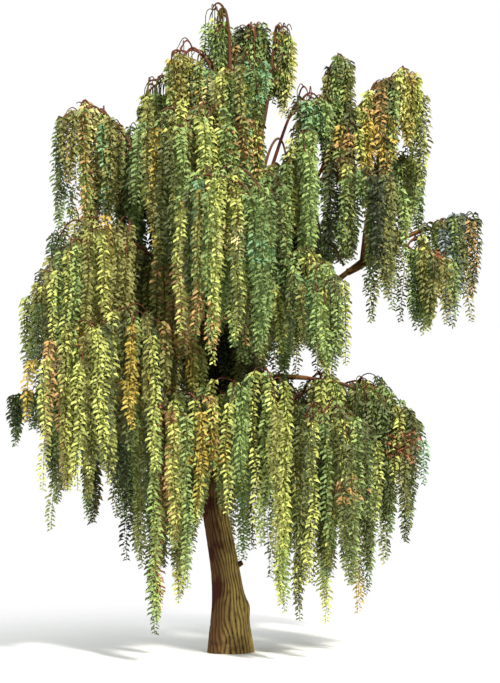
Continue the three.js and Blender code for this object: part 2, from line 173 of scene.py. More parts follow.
def pointsOn(paths, pick, share):
    # points at shares of the picked paths, whose own points are evenly spaced
    last = paths.shape[1] - 1
    place = np.clip(np.asarray(share, float), 0, 1) * last
    low = np.minimum(place.astype(int), last - 1)
    step = paths[pick, low + 1] - paths[pick, low]
    return paths[pick, low] + step * (place - low)[..., None]


def pointOn(path, share):
    return pointsOn(path[None], 0, share)


def smoothNoise(x, y, seed, around):
    # values from -1 to 1 dealt to a lattice and blended smoothly, which repeat in x after "around" cells
    cellX, cellY = np.floor(x), np.floor(y)
    partX, partY = x - cellX, y - cellY
    partX, partY = partX ** 2 * (3 - 2 * partX), partY ** 2 * (3 - 2 * partY)
    corner = lambda i, j: chance(seed, np.mod(cellX + i, around) * 57 + (cellY + j) * 131)
    low = lerp(corner(0, 0), corner(1, 0), partX)
    high = lerp(corner(0, 1), corner(1, 1), partX)
    return lerp(low, high, partY) * 2 - 1


# Meshes from arrays

def makeMesh(name, points, faces, material, smooth=True, values=None):
    # faces is a list of arrays, one row a face, each array with its own number of corners
    mesh = bpy.data.meshes.new(name)
    corners = np.concatenate([np.ravel(part) for part in faces]).astype(np.int32)
    sizes = np.concatenate([np.full(len(part), part.shape[1]) for part in faces])
    mesh.vertices.add(len(points))
    mesh.vertices.foreach_set("co", np.ravel(points).astype(np.float32))
    mesh.loops.add(len(corners))
    mesh.loops.foreach_set("vertex_index", corners)
    mesh.polygons.add(len(sizes))
    mesh.polygons.foreach_set("loop_start", (np.cumsum(sizes) - sizes).astype(np.int32))
    mesh.update(calc_edges=True)
    mesh.polygons.foreach_set("use_smooth", np.full(len(sizes), smooth))
    for key, value in (values or {}).items():
        layer = mesh.attributes.new(key, "FLOAT", "POINT")
        layer.data.foreach_set("value", np.ravel(value).astype(np.float32))
    mesh.materials.append(material)
    return addObject(name, mesh)


def gridFaces(rows, columns):
    # quads of a grid whose columns close into a ring, outward when the ring runs left round the path
    ring = np.arange(columns)
    low = np.arange(rows - 1)[:, None] * columns + ring
    near = np.arange(rows - 1)[:, None] * columns + (ring + 1) % columns
    return np.stack([low, near, near + columns, low + columns], -1).reshape(-1, 4)


def tubes(paths, radii, sides, across):
    # rings of equal angles round each path, square to it, with flat caps.
    # paths is (n, m, 3), radii (n, m) or (m), and across (n, 3) is level and square to each path
    along = unit(np.gradient(paths, axis=1))
    side = unit(across[:, None] - along * np.sum(across[:, None] * along, -1, keepdims=True))
    over = np.cross(along, side)
    turn = np.arange(sides) * 2 * np.pi / sides
    ring = side[:, :, None] * np.cos(turn)[:, None] + over[:, :, None] * np.sin(turn)[:, None]
    count, rows = paths.shape[:2]
    points = paths[:, :, None] + ring * np.broadcast_to(radii, (count, rows))[:, :, None, None]
    starts = np.arange(count) * rows * sides
    walls = (gridFaces(rows, sides)[None] + starts[:, None, None]).reshape(-1, 4)
    foot = np.arange(sides)[::-1][None] + starts[:, None]
    tip = np.arange(sides)[None] + (rows - 1) * sides + starts[:, None]
    return points.reshape(-1, 3), walls, np.concatenate([foot, tip])


def joinParts(parts):
    # several sets of points, walls and caps in one mesh
    points, faces, start = [], [], 0
    for found, walls, caps in parts:
        points.append(found)
        faces += [walls + start, caps + start]
        start += len(found)
    return np.concatenate(points), faces


# Node groups and materials

def linear(colour):
    # screen colour from 0 to 255 to the linear values that a shader takes
    share = np.array(colour) / 255
    return (*np.where(share < 0.04045, share / 12.92, ((share + 0.055) / 1.055) ** 2.4), 1)


def newGroup(name, inputs):
    # inputs are colours or numbers; every group gives the same three outputs
    group = bpy.data.node_groups.new(name, "ShaderNodeTree")
    for title, value in inputs.items():
        kind = "NodeSocketColor" if isinstance(value, tuple) else "NodeSocketFloat"
        group.interface.new_socket(title, in_out="INPUT", socket_type=kind).default_value = value
    for title, kind in (("Color", "Color"), ("Roughness", "Float"), ("Normal", "Vector")):
        group.interface.new_socket(title, in_out="OUTPUT", socket_type="NodeSocket" + kind)
    return group, group.nodes.new("NodeGroupInput").outputs


def finishGroup(group, *results):
    made = group.nodes.new("NodeGroupOutput")
    for result, socket in zip(results, made.inputs):
        group.links.new(result, socket)
    return group


def mathNode(group, operation, first, second, clamp=False):
    node = group.nodes.new("ShaderNodeMath")
    node.operation = operation
    node.use_clamp = clamp
    for socket, value in zip(node.inputs, (first, second)):
        if isinstance(value, (int, float)):
            socket.default_value = value
        else:
            group.links.new(value, socket)
    return node.outputs[0]


def stretchNodes(group, value, middle, factor, clamp=False):
    # how far a value is from a middle one, times a factor
    return mathNode(group, "MULTIPLY", mathNode(group, "SUBTRACT", value, middle), factor, clamp)


def noiseNode(group, vector, scale, detail=2.0):
    node = group.nodes.new("ShaderNodeTexNoise")
    node.inputs["Detail"].default_value = detail
    group.links.new(vector, node.inputs["Vector"])
    if isinstance(scale, (int, float)):
        node.inputs["Scale"].default_value = scale
    else:
        group.links.new(scale, node.inputs["Scale"])
    return node.outputs["Fac"]


def mixNode(group, share, first, second):
    node = group.nodes.new("ShaderNodeMix")
    node.data_type = "RGBA"
    for socket, value in ((node.inputs[0], share), (node.inputs[6], first), (node.inputs[7], second)):
        group.links.new(value, socket)
    return node.outputs[2]


def bumpNode(group, height, strength, distance):
    node = group.nodes.new("ShaderNodeBump")
    node.inputs["Distance"].default_value = distance
    group.links.new(strength, node.inputs["Strength"])
    group.links.new(height, node.inputs["Height"])
    return node.outputs["Normal"]


def leafToneGroup():
    # a soft wander between two close greens, with a fine ripple along the blade
    group, given = newGroup("leafTone", {
        "Color": (0.2, 0.3, 0.05, 1), "Deep Color": (0.1, 0.2, 0.03, 1),
        "Patch Scale": 5.0, "Ripple": 0.3,
    })
    place = group.nodes.new("ShaderNodeTexCoord").outputs["Object"]
    patch = noiseNode(group, place, given["Patch Scale"], 3.0)
    share = stretchNodes(group, patch, 0.35, 3.0, clamp=True)
    colour = mixNode(group, share, given["Color"], given["Deep Color"])
    fine = noiseNode(group, place, 90.0)
    rough = mathNode(group, "ADD", mathNode(group, "MULTIPLY", fine, 0.25), 0.42)
    return finishGroup(group, colour, rough, bumpNode(group, fine, given["Ripple"], 0.004))


def barkGrainGroup():
    # dark furrows and pale crests by the Ridge mask, broken by grain drawn out along the limb
    group, given = newGroup("barkGrain", {
        "Furrow Color": (0.02, 0.01, 0.005, 1), "Crest Color": (0.3, 0.2, 0.1, 1),
        "Stain And Shade Color": (0.15, 0.06, 0.03, 1), "Ridge": 0.5, "Shade And Stain Share": 0.0,
        "Grain Scale": 18.0, "Grain Depth": 0.6,
    })
    place = group.nodes.new("ShaderNodeTexCoord").outputs["Object"]
    stretch = group.nodes.new("ShaderNodeMapping")
    stretch.inputs["Scale"].default_value = (1, 1, 0.22)
    group.links.new(place, stretch.inputs["Vector"])
    grain = noiseNode(group, stretch.outputs[0], given["Grain Scale"], 6.0)
    broken = stretchNodes(group, grain, 0.5, 1.1)
    crest = mathNode(group, "ADD", given["Ridge"], broken, clamp=True)
    # reddish stain patches by noise, added to the Stain Share input, which on the trunk carries painted
    # shade
    patch = stretchNodes(group, noiseNode(group, place, 1.6, 4.0), 0.5, 5.0, clamp=True)
    patch = mathNode(group, "MULTIPLY", patch, 0.6)
    shadeAndStain = mathNode(group, "ADD", patch, given["Shade And Stain Share"], clamp=True)
    base = mixNode(group, crest, given["Furrow Color"], given["Crest Color"])
    colour = mixNode(group, shadeAndStain, base, given["Stain And Shade Color"])
    rough = mathNode(group, "ADD", mathNode(group, "MULTIPLY", grain, -0.2), 0.98)
    return finishGroup(group, colour, rough, bumpNode(group, grain, given["Grain Depth"], 0.02))


def plainMaterial(name, specular):
    material = bpy.data.materials.new(name)
    material.use_nodes = True
    shader = material.node_tree.nodes["Principled BSDF"]
    shader.inputs["Specular IOR Level"].default_value = specular
    return material, material.node_tree, shader


def newMaterial(name, group, values, links=None, specular=0.3):
    # a Principled surface fed by one placed group; links names attributes that feed its inputs
    material, tree, shader = plainMaterial(name, specular)
    placed = tree.nodes.new("ShaderNodeGroup")
    placed.node_tree = group
    for title, value in values.items():
        placed.inputs[title].default_value = value
    for title, attribute in (links or {}).items():
        node = tree.nodes.new("ShaderNodeAttribute")
        node.attribute_name = attribute
        tree.links.new(node.outputs["Fac"], placed.inputs[title])
    for title, socket in (("Color", "Base Color"), ("Roughness", "Roughness"), ("Normal", "Normal")):
        tree.links.new(placed.outputs[title], shader.inputs[socket])
    return material


def barkMaterial(name, look, specular, links=None):
    # look has the colours of furrows, crests, and stains and painted shade, and the grain's scale and
    # depth
    values = dict(zip(("Furrow Color", "Crest Color", "Stain And Shade Color"), map(linear, look["colours"])))
    values["Grain Scale"], values["Grain Depth"] = look["grain"]
    return newMaterial(name, barkGrain, values, links, specular)


def makeFloor():
    # a flat disc of rings that grows clear towards its rim
    rows, columns = 8, 96
    reach = np.linspace(0.02, 1, rows)[:, None] * studio["floorRadius"]
    turn = np.arange(columns) * 2 * np.pi / columns
    parts = np.broadcast_arrays(reach * np.cos(turn), reach * np.sin(turn), 0 * turn)
    points = np.stack(parts, -1).reshape(-1, 3)
    faces = gridFaces(rows, columns)[:, ::-1]
    material, tree, shader = plainMaterial("floor", 0.1)
    shader.inputs["Base Color"].default_value = studio["floorColour"]
    shader.inputs["Roughness"].default_value = 0.9
    place = tree.nodes.new("ShaderNodeTexCoord")
    length = tree.nodes.new("ShaderNodeVectorMath")
    length.operation = "LENGTH"
    fade = tree.nodes.new("ShaderNodeMapRange")
    fade.interpolation_type = "SMOOTHSTEP"
    near, far = studio["floorFade"]
    for socket, value in (("From Min", near), ("From Max", far), ("To Min", 1), ("To Max", 0)):
        fade.inputs[socket].default_value = value
    tree.links.new(place.outputs["Object"], length.inputs[0])
    tree.links.new(length.outputs["Value"], fade.inputs["Value"])
    tree.links.new(fade.outputs["Result"], shader.inputs["Alpha"])
    inner = np.arange(columns)[None]
    makeMesh("floor", points, [faces, inner], material, smooth=False)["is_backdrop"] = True


makeCamera()
makeLights()
makeFloor()
leafTone = leafToneGroup()
barkGrain = barkGrainGroup()
print("camera, light and floor made")


# Trunk

trunk = {
    "height": 11.6,
    "footRadius": 0.4,
    "tipRadius": 0.045,
    "footShare": 0.3,  # part of the foot's radius, nearly all lost at the height of footFade
    "footFade": 0.9,
    "taperShare": 0.8,  # the rest of the radius, which falls to the tip by a power
    "taperPower": 1.15,
    "swing": 0.62,
    "upright": 0.3,  # share of the height over which the swing sets in
    "flareFade": 0.38,
    "flareSwell": 0.12,
    "flareLobes": 5,
    "lobeDepth": 0.4,
    "burrHeight": 0.93,
    "burrSpread": 0.21,
    "burrHeading": -12,
    "burrWidth": 38,
    "burrBulge": 0.2,
    "columns": 162,
    "rows": 220,
    "rowPower": 1.7,  # crowds the rows towards the ground
    "ridges": 27,
    "ridgeDepth": 0.07,  # as a share of the radius
    "stubHeight": 1.6,
    "stubHeading": -8,
    "stubPitch": 30,
    "stubLength": 0.1,  # beyond the trunk's surface
    "stubRadii": (0.1, 0.05),
    "stubTone": 0.7,  # how pale and how stained the stub is
    "colours": ((12, 7, 4), (186, 158, 92), (62, 30, 20)),  # furrows, crests, and stains and painted shade
    "grain": (26.0, 0.8),  # scale and depth
    "shadeHeading": 192,  # the side where the painted shade is darkest
    "shadeAndStain": (0.1, 0.9, 0.12, 0.85),  # painted shade: middle share at the ground, swing, gain in a metre, most
}


def trunkCentre(height):
    # upright at the foot, then one long S: a sine of the height, let in by a bell curve
    share = np.asarray(height, float) / trunk["height"]
    swing = trunk["swing"] * (1 - np.exp(-((share / trunk["upright"]) ** 2)))
    return np.stack(np.broadcast_arrays(-swing * np.sin(2 * np.pi * share), 0, height), -1)


def trunkRadius(height):
    # a bell curve for the foot over a steady taper
    foot = trunk["footShare"] * np.exp(-((height / trunk["footFade"]) ** 2))
    left = np.clip(1 - height / trunk["height"], 0, 1)
    rest = trunk["taperShare"] * left ** trunk["taperPower"]
    return lerp(trunk["tipRadius"], trunk["footRadius"], foot + rest)


def trunkSwell(angle, height):
    # root lobes that fade with height, and one burr as a bell curve round its heading
    lobes = 1 - trunk["lobeDepth"] + trunk["lobeDepth"] * np.cos(trunk["flareLobes"] * angle)
    flare = trunk["flareSwell"] * np.exp(-height / trunk["flareFade"]) * lobes
    away = np.degrees(np.angle(np.exp(1j * (angle - np.radians(trunk["burrHeading"])))))
    bell = (away / trunk["burrWidth"]) ** 2 + ((height - trunk["burrHeight"]) / trunk["burrSpread"]) ** 2
    return 1 + flare + trunk["burrBulge"] * np.exp(-bell)


def barkRidges(around, along, ridges, seed):
    # 0 in a furrow, 1 on a crest: the size of a sine round the limb, its phase pushed by slow
    # noise so that ridges wander, meet and part, and cut across here and there by short cracks
    push = 0.9 * smoothNoise(around * 7, along * 1.3, seed, 7)
    push = push + 0.45 * smoothNoise(around * 14, along * 3.1, seed + 1, 14)
    crest = np.abs(np.sin(np.pi * (ridges * around + push))) ** 0.9
    crack = smoothNoise(around * ridges, along * 9, seed + 2, ridges)
    return np.clip(crest * (1 - 0.55 * np.clip(crack - 0.35, 0, 1) / 0.65), 0, 1)


def stubOfBough():
    # a short tube from the trunk's axis out past its surface
    reach = trunkRadius(trunk["stubHeight"]) + trunk["stubLength"]
    out = direction(trunk["stubHeading"], trunk["stubPitch"]) * reach
    steps = np.linspace(0, 1, 12)
    path = trunkCentre(trunk["stubHeight"]) + out * steps[:, None]
    across = direction(trunk["stubHeading"] + 90)
    return tubes(path[None], lerp(*trunk["stubRadii"], steps), 18, across[None])


def makeTrunk():
    rows, columns = trunk["rows"], trunk["columns"]
    height = trunk["height"] * np.linspace(0, 1, rows)[:, None] ** trunk["rowPower"]
    around = np.arange(columns) / columns
    angle = around * 2 * np.pi
    ridge = barkRidges(around, height, trunk["ridges"], 5)
    radius = trunkRadius(height) * trunkSwell(angle, height)
    radius = radius * (1 + trunk["ridgeDepth"] * (ridge - 0.72))
    centre = trunkCentre(height[:, 0])[:, None]
    points = centre + radius[..., None] * direction(np.degrees(angle))[None]
    foot = np.arange(columns)[::-1][None]
    tip = np.arange(columns)[None] + (rows - 1) * columns
    # painted shade, darker on one side by a cosine of the heading, and more so higher up under the crown
    middle, swing, gain, most = trunk["shadeAndStain"]
    side = np.cos(angle - np.radians(trunk["shadeHeading"]))
    shadeAndStain = np.clip(side * swing + middle + gain * height, 0, most)
    stub = stubOfBough()
    stem = points.reshape(-1, 3), gridFaces(rows, columns), np.concatenate([foot, tip])
    points, faces = joinParts([stem, stub])
    tone = np.full(len(stub[0]), trunk["stubTone"])
    values = {"ridge": np.append(ridge, tone), "shadeAndStain": np.append(shadeAndStain, tone)}
    material = barkMaterial("trunkBark", trunk, 0.15, {"Ridge": "ridge", "Shade And Stain Share": "shadeAndStain"})
    piece = makeMesh("trunkBark", points, faces, material, values=values)
    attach(piece, "root")
    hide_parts("trunk")


makeTrunk()
print("trunk made")


# Boughs

# where each leaves the trunk (height) or another bough (share of it), heading and reach of its tip,
# the tip's height, the pitch on leaving and on arriving, and the radius at its root
boughTable = {
    "low_right": (4.95, 352, 1.56, 5.48, 54, -6, 0.1),
    "right": (5.8, 359, 2.86, 8, 34, 38, 0.105),
    "right_riser": (0.93, 9, 2.98, 9.6, 84, 66, 0.048),
    "far_right": (0.82, 3, 4.04, 8.48, 20, 10, 0.05),
    "arch": (7.45, 356, 1.72, 9.44, 50, 61, 0.078),
    "right_spire": (8.25, 7, 1.53, 9.64, 38, 68, 0.066),
    "low_left": (4.55, 190, 2.35, 5.48, 24, 16, 0.096),
    "left_tuft": (0.86, 178, 3.56, 5.12, 10, 4, 0.05),
    "left": (5.6, 178, 1.23, 6.97, 48, 48, 0.1),
    "left_arch": (7.05, 187, 1.13, 8.85, 46, 54, 0.072),
    "left_front": (6.15, 214, 0.89, 7.1, 44, 42, 0.076),
    "dome": (4.2, 262, 1.45, 4.95, 40, 24, 0.074),
    "front_left": (3.7, 241, 1.15, 4.45, 45, 24, 0.084),
    "front_right": (0.5, 312, 1.9, 4.7, -22, -20, 0.062),
    "gold_dome": (5, 222, 1.09, 5.63, 38, 29, 0.078),
    "right_inner": (5.65, 303, 0.96, 6.6, 36, 37, 0.074),
    "middle_front": (6.7, 273, 0.8, 7.85, 48, 39, 0.076),
    "low_back_right": (4.35, 59, 0.92, 4.7, 34, 5, 0.088),
    "low_back": (4.75, 101, 1.05, 5, 38, -3, 0.084),
    "low_back_left": (3.95, 140, 1.21, 4.43, 36, 19, 0.088),
    "middle_back_right": (6.05, 52, 1.15, 7.04, 44, 39, 0.084),
    "middle_back": (6.6, 88, 1.07, 7.48, 46, 32, 0.08),
    "middle_back_left": (5.85, 140, 1.13, 6.87, 44, 39, 0.084),
    "upper_back": (8, 52, 0.99, 9.06, 52, 54, 0.062),
}
parents = {"right_riser": "right", "far_right": "right", "left_tuft": "low_left",
           "front_right": "low_right"}

bough = {
    "handle": 0.36,  # share of the span that each end of the curve keeps its pitch for
    "tipRadius": 0.042,
    "collar": 0.5,  # how much wider the root is where it leaves its parent
    "collarFade": 0.16,
    "rows": 48,
    "columns": 14,
    "ridges": 9,
    "ridgeDepth": 0.1,
    "colours": ((36, 22, 14), (128, 92, 50), (104, 48, 36)),
    "grain": (30.0, 0.6),
}


def boughPath(name, at, heading, reach, height, leave, arrive, radius):
    root = pointOn(boughPaths[parents[name]], at) if name in parents else trunkCentre(at)
    tip = direction(heading) * reach
    tip[2] = height
    own = np.degrees(np.arctan2(tip[1] - root[1], tip[0] - root[0]))
    lead, last = direction(own, leave), direction(own, arrive)
    return limbCurve(root, lead, tip, last, bough["handle"], 200, bough["rows"]), own


boughPaths, boughHeadings = {}, {}
for name, row in boughTable.items():
    boughPaths[name], boughHeadings[name] = boughPath(name, *row)


def makeBoughs():
    paths = np.stack(list(boughPaths.values()))
    share = np.linspace(0, 1, bough["rows"])
    rootRadius = np.array([row[-1] for row in boughTable.values()])
    radii = lerp(rootRadius[:, None], bough["tipRadius"], share)
    radii = radii * (1 + bough["collar"] * np.exp(-share / bough["collarFade"]))
    across = direction(np.array(list(boughHeadings.values())) + 90)
    points, walls, caps = tubes(paths, radii, bough["columns"], across)
    # the relief pushes each ring in and out of its centre by the same ridges as on the trunk
    points = points.reshape(len(paths), bough["rows"], bough["columns"], 3)
    length = lengthOf(paths)
    around = np.arange(bough["columns"])[None, None] / bough["columns"]
    along = share[None, :, None] * length[:, None, None] + np.arange(len(paths))[:, None, None] * 11
    ridge = barkRidges(around, along, bough["ridges"], 9)
    centre = paths[:, :, None]
    points = centre + (points - centre) * (1 + bough["ridgeDepth"] * (ridge - 0.7))[..., None]
    material = barkMaterial("boughBark", bough, 0.15, {"Ridge": "ridge"})
    piece = makeMesh("boughBark", points.reshape(-1, 3), [walls, caps], material, values={"ridge": ridge})
    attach(piece, "root")
    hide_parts(*barkNodes)


makeBoughs()
print("boughs made:", len(boughTable))


# Masses of foliage

# height on the trunk where the stem leaves it, heading, pitch on leaving, how far the stem runs out
# and up, how steeply it ends, reach of its side twigs, hem nearest the trunk and at the far end, and
# the mix of tints
trunkMasses = {
    "crown_tip": (11.6, 168, 90, 0.25, 1.15, 68, 0.3, 10.1, 10.1, "spring"),
    "top_left": (11, 190, 40, 1.2, 0.82, 60, 0.38, 9.7, 9.7, "spring"),
    "top_right": (9.95, 14, 66, 0.56, 2.3, 80, 0.26, 10.1, 10.1, "spring"),
    "top_front": (10.35, 258, 52, 1, 0.9, 62, 0.62, 8.7, 8.7, "spring"),
    "top_back": (9.7, 100, 66, 0.5, 2.5, 62, 0.38, 9.5, 9.5, "olive"),
    "upper_front_left": (7.9, 226, 56, 2.05, 2.25, 50, 0.95, 7.5, 7.5, "spring"),
    "upper_front_right": (8.55, 306, 46, 1.65, 1.25, 56, 0.9, 7.5, 7.5, "spring"),
    "inner_right": (6.95, 333, 54, 2.42, 2.15, 50, 1, 6.9, 6.9, "deep"),
    "left_spire": (8.1, 170, 48, 2.42, 2.98, 50, 0.34, 8.4, 8.4, "spring"),
    "right_fork": (9.05, 335, 66, 1.08, 1.7, 76, 0.48, 9.3, 9.3, "spring"),
    "upper_back_left": (7.45, 142, 52, 2.7, 2.35, 56, 0.95, 7.5, 7.5, "deep"),
}

# the same without height and pitch, for masses on the tips of the boughs of their own name or of
# their carriers
boughMasses = {
    "low_right": (348, 1.78, -1.04, 52, 0.56, 0.4, 3.3, "meadow"),
    "right_middle": (326, 1.25, -0.38, 52, 0.56, 6.3, 6.4, "meadow"),
    "right_edge": (8, 0.55, 0.06, 70, 0.4, 7.9, 7.9, "olive"),
    "far_right": (358, 0.6, 0.09, 66, 0.42, 6.3, 7.5, "olive"),
    "arch": (359, 1.8, 1.6, 74, 0.5, 8.9, 9.3, "gold"),
    "right_spire": (7, 0.68, 1.92, 78, 0.3, 9.1, 9.1, "olive"),
    "low_left": (192, 0.74, -0.38, 60, 0.95, 2.5, 3.1, "deep"),
    "left_tuft": (180, 0.5, -0.14, 76, 0.3, 2.2, 3.9, "deep"),
    "left_middle": (180, 2.25, 0, 56, 0.7, 5.5, 5.2, "deep"),
    "left_arch": (184, 1.9, 1.6, 76, 0.48, 8.25, 8.25, "spring"),
    "left_front": (208, 2.31, 0.65, 60, 1.05, 5.4, 5.4, "autumn"),
    "dome": (335, 1.2, 0.04, 62, 0.85, 3, 0.9, "meadow"),
    "front_left": (244, 1.35, 0.3, 62, 0.7, 1.3, 0.4, "autumn"),
    "front_right": (322, 0.95, -0.3, 62, 0.8, 1.45, 1.45, "meadow"),
    "gold_dome": (220, 2.36, 0.27, 60, 1.05, 3.5, 3.3, "gold"),
    "right_inner": (308, 2.2, 0.42, 60, 1.05, 5.3, 5.6, "meadow"),
    "middle_front": (266, 2, 0.8, 60, 1.05, 5.85, 6, "spring"),
    "low_back_right": (46, 2.9, 0.05, 58, 1.05, 1.5, 2.7, "meadow"),
    "low_back": (89, 2.77, -0.15, 58, 1.05, 2.1, 1.7, "olive"),
    "low_back_left": (127, 2.61, 0.12, 58, 1.05, 1.3, 2.9, "deep"),
    "middle_back_right": (53, 2.75, 0.76, 60, 1.15, 5.2, 6.4, "olive"),
    "middle_back": (100, 2.75, 0.57, 60, 1.15, 5.3, 5.1, "meadow"),
    "middle_back_left": (143, 2.82, 0.78, 60, 1.15, 5.2, 5.4, "deep"),
    "upper_back": (73, 1.85, 0.99, 64, 0.95, 7.5, 7.5, "spring"),
}
carriers = {"right_middle": "right", "right_edge": "right_riser", "left_middle": "left"}

massTable = {name: ("trunk", *row) for name, row in trunkMasses.items()}
for name, (heading, *rest) in boughMasses.items():
    massTable[name] = (carriers.get(name, name), None, heading, 0, *rest)
limbs, _, massHeading, _, _, _, _, massReach, massHem, massTipHem, massMix = zip(*massTable.values())
massHeading, massReach = np.array(massHeading), np.array(massReach)
massHem, massTipHem = np.array(massHem), np.array(massTipHem)

twig = {
    "spacing": 0.2,  # along the stem
    "fewest": 6,
    "stemHandle": 0.5,
    "along": {"trunk": (0.4, 0.97), "bough": (0.12, 0.97)},  # the part of a stem with side twigs
    "swing": (88, 26),  # away from the stem's heading, at its root and at its tip
    "swingSpread": 34,
    "reaches": (0.6, 1.15),  # of its mass's
    "climb": 0.98,  # an arch that climbs at this slope, and falls back by its square
    "fall": 1.12,
    "vault": (0.7, 3.2),  # what that height is multiplied by
    "least": 0.3,  # share of its reach that has to be free
    "clearance": 0.03,
    "furthest": 1.35,  # share of a mass's reach, measured from its plumb lines
    "depth": (-3.45, 4.75),  # how far to the front and back any twig goes
    "branchSpots": (0.35, 0.75),  # where shorter twigs leave each side twig
    "branchSpread": 0.2,
    "branchTurn": (35, 75),
    "branchReach": (0.315, 0.585),
    "stemRadius": (0.042, 0.02),
    "twigRadius": (0.025, 0.013),
    "branchRadius": (0.015, 0.009),
    "colours": ((44, 26, 18), (122, 82, 52), (138, 60, 50)),
    "grain": (40.0, 0.4),
}

whip = {
    "stemEnd": 0.99,
    "stemCount": 12,
    "stemTurn": 150,
    "twigSpots": (0.3, 0.55, 0.78, 1.0),
    "branchSpots": (0.6, 1.0),
    "twigTurn": 70,
    "throw": (0.05, 0.25),  # how far it swings out before it hangs, as a share of the mass's reach
    "bend": 0.22,  # the drop over which it turns from level to hanging
    "sway": 0.05,
    "swayLength": 1.7,
    "swayFull": 1.5,  # the drop at which the sway is whole
    "lengths": (0.86, 1.0),  # of its garland's
    # how far below the hem of its solid a mass hangs in front of others
    "lower": {"upper_front_left": 0.9, "upper_front_right": 0.4, "top_front": 0.4, "left_front": 0.3},
    "garland": 0.42,  # width of the cells whose whips hang together
    "garlandLengths": (0.6, 1.16),  # share of the way down to the hem
    "gather": 0.85,  # how far the whips of a garland draw together at the tip
    "shortest": 0.45,
    "shortestSpread": (1, 1.8),
    "ground": 0.35,  # no whip hangs lower
    "radius": (0.011, 0.004),
    "rows": 6,
    # share of the garlands left out where the crown is open
    "open": {"crown_tip": 0.15, "top_left": 0.4, "top_right": 0.3, "right_fork": 0.35, "left_tuft": 0.3,
             "far_right": 0.15, "right_spire": 0.2, "left_arch": 0.1, "right_middle": 0.2,
             "left_spire": 0.2, "right_edge": 0.2, "arch": 0.1},
    # masses whose arches show bare, with whips only from these shares of their twigs and stems on
    "bare": ("crown_tip", "top_left", "top_right", "left_spire", "right_fork"),
    "bareTwig": 0.7,
    "bareStem": 0.85,
    "innerSpots": (0.15, 0.95, 0.05),  # of whips that hang from a bough itself: from, to and step
    "innerReach": 1.3,
    "innerTurn": 80.0,
    "innerLengths": (0.7, 2.0),
    "overlap": 0.45,  # how far whips of neighbouring masses may stand in each other's space
    "clearance": 0.05,
    "colours": ((52, 44, 16), (120, 116, 44), (96, 62, 34)),
    "grain": (40.0, 0.3),
}

# gaps right through the crown, or from the front as deep as given: the middle across and up, half
# the width and height
openings = {
    "fork": (0.88, 10.45, 0.3, 0.65),
    "besideFork": (1.8, 9.85, 0.14, 0.45),
    "rightStrands": (2.6, 8.2, 0.12, 0.75),
    "leftShoulder": (-3.2, 8.35, 0.14, 0.3),
    "leftStrands": (-1.72, 8.55, 0.1, 0.42),
    "overLowBough": (1.5, 5.8, 0.13, 0.35),
    "besideLowBough": (2.35, 5.6, 0.16, 0.25),
    "overRightBough": (2.25, 7.65, 0.26, 0.22),
    "underLeft": (-4.0, 3.8, 0.4, 0.8),
    "besideTrunk": (-0.56, 1.55, 0.18, 1.25),
    "overTrunk": (-0.34, 2.4, 0.17, 1.55, 0),
}


def inOpenings(paths, seed):
    # ellipses across and up, each as deep as its gap, whose size differs from path to path
    inside = np.zeros(paths.shape[:-1], bool)
    size = lerp(0.7, 1.5, chance(seed, np.arange(len(paths))))[:, None]
    for x, z, wide, tall, *depth in openings.values():
        near = ((paths[..., 0] - x) / wide) ** 2 + ((paths[..., 2] - z) / tall) ** 2 < size
        inside |= near & (paths[..., 1] < depth[0]) if depth else near
    return inside


archShare = np.linspace(0, 1, 9)


def stemPath(row):
    limb, at, heading, pitch, out, lift, droop = row[:7]
    if limb == "trunk":
        root, lead = trunkCentre(at), direction(heading, pitch)
    else:
        path = boughPaths[limb]
        root, lead = path[-1], unit(path[-1] - path[-2])
    tip = root + direction(heading) * out + np.array([0, 0, lift])
    return limbCurve(root, lead, tip, direction(heading, -droop), twig["stemHandle"], 120, 25)


def byMass(values):
    # a number for every mass in the table's order, 0 where none is given
    return np.array([values.get(name, 0) for name in massTable])


stems = {name: stemPath(row) for name, row in massTable.items()}
isBare = np.array([name in whip["bare"] for name in massTable])
kinds = ["trunk" if limb == "trunk" else "bough" for limb in limbs]
dropShares = {"trunk": np.array([0.5, 0.85]), "bough": np.array([0.25, 0.55, 0.85])}
dropSpots = [dropShares[kind] for kind in kinds]
dropTops = np.concatenate([pointOn(stem, spots) for stem, spots in zip(stems.values(), dropSpots)])
dropEnds = zip(massHem, massTipHem, dropSpots)
dropHems = np.concatenate([lerp(hem, tipHem, spots ** 2) for hem, tipHem, spots in dropEnds])
firstDrops = np.cumsum([0] + [len(spots) for spots in dropSpots])[:-1]


def roomInSpace(points, mass):
    # how much nearer each point is to its mass's plumb lines (stem to hem) than to any other's, and
    # how far it is from its own
    level = np.hypot(points[..., None, 0] - dropTops[:, 0], points[..., None, 1] - dropTops[:, 1])
    height = points[..., None, 2]
    beyond = np.maximum(height - dropTops[:, 2], dropHems - height).clip(0) * 1.2
    far = np.minimum.reduceat(np.hypot(level, beyond), firstDrops, axis=-1)
    own = np.take_along_axis(far, mass[..., None], -1)[..., 0]
    np.put_along_axis(far, mass[..., None], 1e9, -1)
    return far.min(-1) - own, own


trunkHeights = np.linspace(0.3, trunk["height"] - 0.4, 90)
limbAxes, limbRadii = [trunkCentre(trunkHeights)], [trunkRadius(trunkHeights)]
for name, path in boughPaths.items():
    limbAxes.append(path[2:-3])
    limbRadii.append(np.linspace(boughTable[name][-1], bough["tipRadius"], bough["rows"])[2:-3])
limbAxes, limbRadii = np.concatenate(limbAxes), np.concatenate(limbRadii)


def roomFromLimbs(points):
    # clear distance from each point to the nearest limb's surface
    flat = points.reshape(-1, 3)
    room = np.full(len(flat), 9.0)
    for start in range(0, len(flat), 4000):
        part = flat[start:start + 4000]
        gap = np.linalg.norm(part[:, None] - limbAxes[None], axis=2) - limbRadii
        room[start:start + 4000] = gap.min(1)
    return room.reshape(points.shape[:-1])


